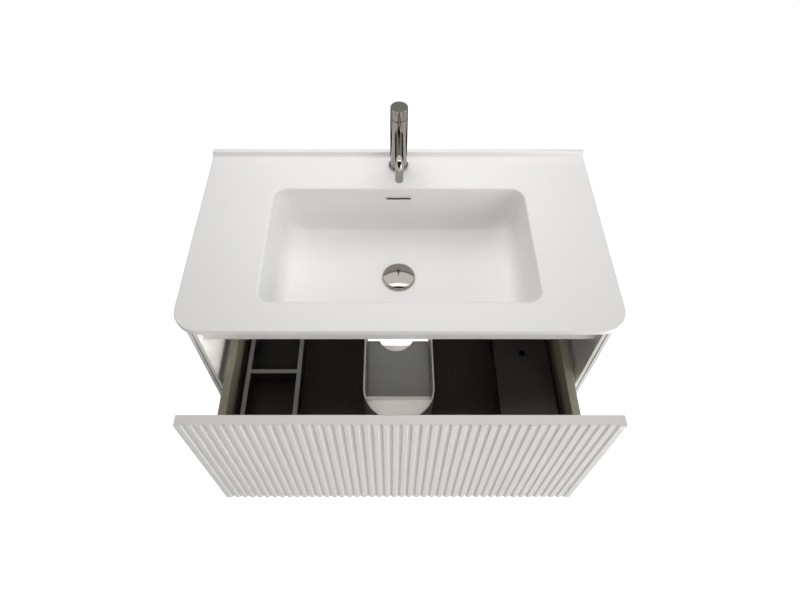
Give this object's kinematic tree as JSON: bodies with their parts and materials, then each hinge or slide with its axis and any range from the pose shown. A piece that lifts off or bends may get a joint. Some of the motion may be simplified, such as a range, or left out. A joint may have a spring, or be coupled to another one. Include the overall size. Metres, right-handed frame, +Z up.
{
  "type": "floating bathroom vanity",
  "caption": "Wall-hung vanity: cast basin top with mixer tap and push waste on a cabinet with one tall fluted drawer front carrying two drawer boxes cut round the trap.",
  "frame": {"origin": "centre of the four wall-plate fixing holes, on the face of the wall", "axes": "+X to the right, +Y into the wall (the front faces -Y), +Z up"},
  "size_m": [0.8, 0.6025, 0.6192],
  "materials": {
    "cast_stone": "satin white cast mineral",
    "body_lacquer": "matt warm grey lacquer on board",
    "front_lacquer": "matt warm grey lacquer on fluted board",
    "box_taupe": "taupe laminate with a fine grain",
    "floor_dark": "near-black laminate",
    "shelf_grey": "grey laminate",
    "box_pale": "pale grey laminate",
    "surround_pale": "satin",
    "organiser_black": "fine matt",
    "lid_grey": "fine matt",
    "slide_steel": "pale grey powder coat",
    "satin_steel": "satin",
    "zinc_steel": "zinc plated",
    "chrome": "polished",
    "black_rubber": "matt",
    "brass": "turned",
    "white_plastic": "moulded",
    "beech": "plain"
  },
  "bodies": {
    "cabinet": {"basin_top": "cast_stone", "overflow_trim": "white_plastic", "side_panel_left": "body_lacquer", "side_panel_right": "body_lacquer", "edge_strips": "black_rubber", "top_front_rail": "body_lacquer", "rear_rail_upper": "body_lacquer", "rear_rail_lower": "body_lacquer", "trap_shelf": "shelf_grey", "dowels": "beech", "cam_locks": "zinc_steel", "cam_bolts": "zinc_steel", "door_bumpers": "white_plastic", "hanger_left": "zinc_steel", "hanger_right": "zinc_steel", "wall_plates": "zinc_steel", "slide_outer_upper_left": "slide_steel", "slide_outer_upper_right": "slide_steel", "slide_outer_lower_left": "slide_steel", "slide_outer_lower_right": "slide_steel", "cabinet_screws": "zinc_steel", "waste_body": "chrome", "waste_top_seal": "black_rubber", "waste_bottom_seal": "black_rubber", "waste_nut": "brass", "waste_guide": "white_plastic", "tap_base_ring": "chrome", "tap_body": "chrome", "tap_spout": "chrome", "tap_aerator": "satin_steel", "tap_cartridge": "white_plastic", "tap_cartridge_nut": "brass", "tap_stud": "brass", "tap_clamp_washer": "zinc_steel", "tap_clamp_nut": "brass"},
    "drawer": {"drawer_front": "front_lacquer", "upper_side_left": "box_taupe", "upper_side_right": "box_taupe", "upper_backs": "box_taupe", "upper_floor": "floor_dark", "trap_surround": "surround_pale", "organiser_left": "organiser_black", "organiser_divider": "organiser_black", "organiser_right": "organiser_black", "lower_side_left": "box_pale", "lower_side_right": "box_pale", "lower_floor": "box_pale", "lower_backs": "box_pale", "slide_inner_upper": "slide_steel", "slide_inner_lower": "slide_steel", "front_brackets": "zinc_steel", "drawer_screws": "zinc_steel"},
    "runner_upper_left": {"slide_middle_upper_left": "slide_steel"},
    "runner_upper_right": {"slide_middle_upper_right": "slide_steel"},
    "runner_lower_left": {"slide_middle_lower_left": "slide_steel"},
    "runner_lower_right": {"slide_middle_lower_right": "slide_steel"},
    "organiser_lid": {"organiser_lid": "lid_grey"},
    "waste_cap": {"waste_cap": "chrome"},
    "tap_swivel": {"tap_swivel": "satin_steel"},
    "tap_handle": {"tap_handle": "chrome"}
  },
  "joints": [
    {"name": "drawer_slide", "type": "slide", "parent": "cabinet", "child": "drawer", "axis": [0, -1, 0], "range_m": [-0.1435, 0.2065]},
    {"name": "runner_upper_left_slide", "type": "slide", "parent": "cabinet", "child": "runner_upper_left", "axis": [0, -1, 0], "range_m": [-0.07175, 0.10325]},
    {"name": "runner_upper_right_slide", "type": "slide", "parent": "cabinet", "child": "runner_upper_right", "axis": [0, -1, 0], "range_m": [-0.07175, 0.10325]},
    {"name": "runner_lower_left_slide", "type": "slide", "parent": "cabinet", "child": "runner_lower_left", "axis": [0, -1, 0], "range_m": [-0.07175, 0.10325]},
    {"name": "runner_lower_right_slide", "type": "slide", "parent": "cabinet", "child": "runner_lower_right", "axis": [0, -1, 0], "range_m": [-0.07175, 0.10325]},
    {"name": "lid_lift", "type": "slide", "parent": "drawer", "child": "organiser_lid", "axis": [0, 0, 1], "range_m": [0, 0.06]},
    {"name": "waste_cap_rise", "type": "slide", "parent": "cabinet", "child": "waste_cap", "axis": [0, 0, 1], "range_m": [0, 0.007]},
    {"name": "tap_turn", "type": "hinge", "parent": "cabinet", "child": "tap_swivel", "pos_m": [0, -0.044, 0.244], "axis": [0, 0, 1], "range_deg": [-50, 50]},
    {"name": "tap_lever_lift", "type": "hinge", "parent": "tap_swivel", "child": "tap_handle", "pos_m": [0, -0.044, 0.244], "axis": [-1, 0, 0], "range_deg": [0, 18]}
  ],
  "couplings": [
    {"joint": "runner_upper_left_slide", "follows": "drawer_slide", "ratio": 0.5},
    {"joint": "runner_upper_right_slide", "follows": "drawer_slide", "ratio": 0.5},
    {"joint": "runner_lower_left_slide", "follows": "drawer_slide", "ratio": 0.5},
    {"joint": "runner_lower_right_slide", "follows": "drawer_slide", "ratio": 0.5}
  ]
}
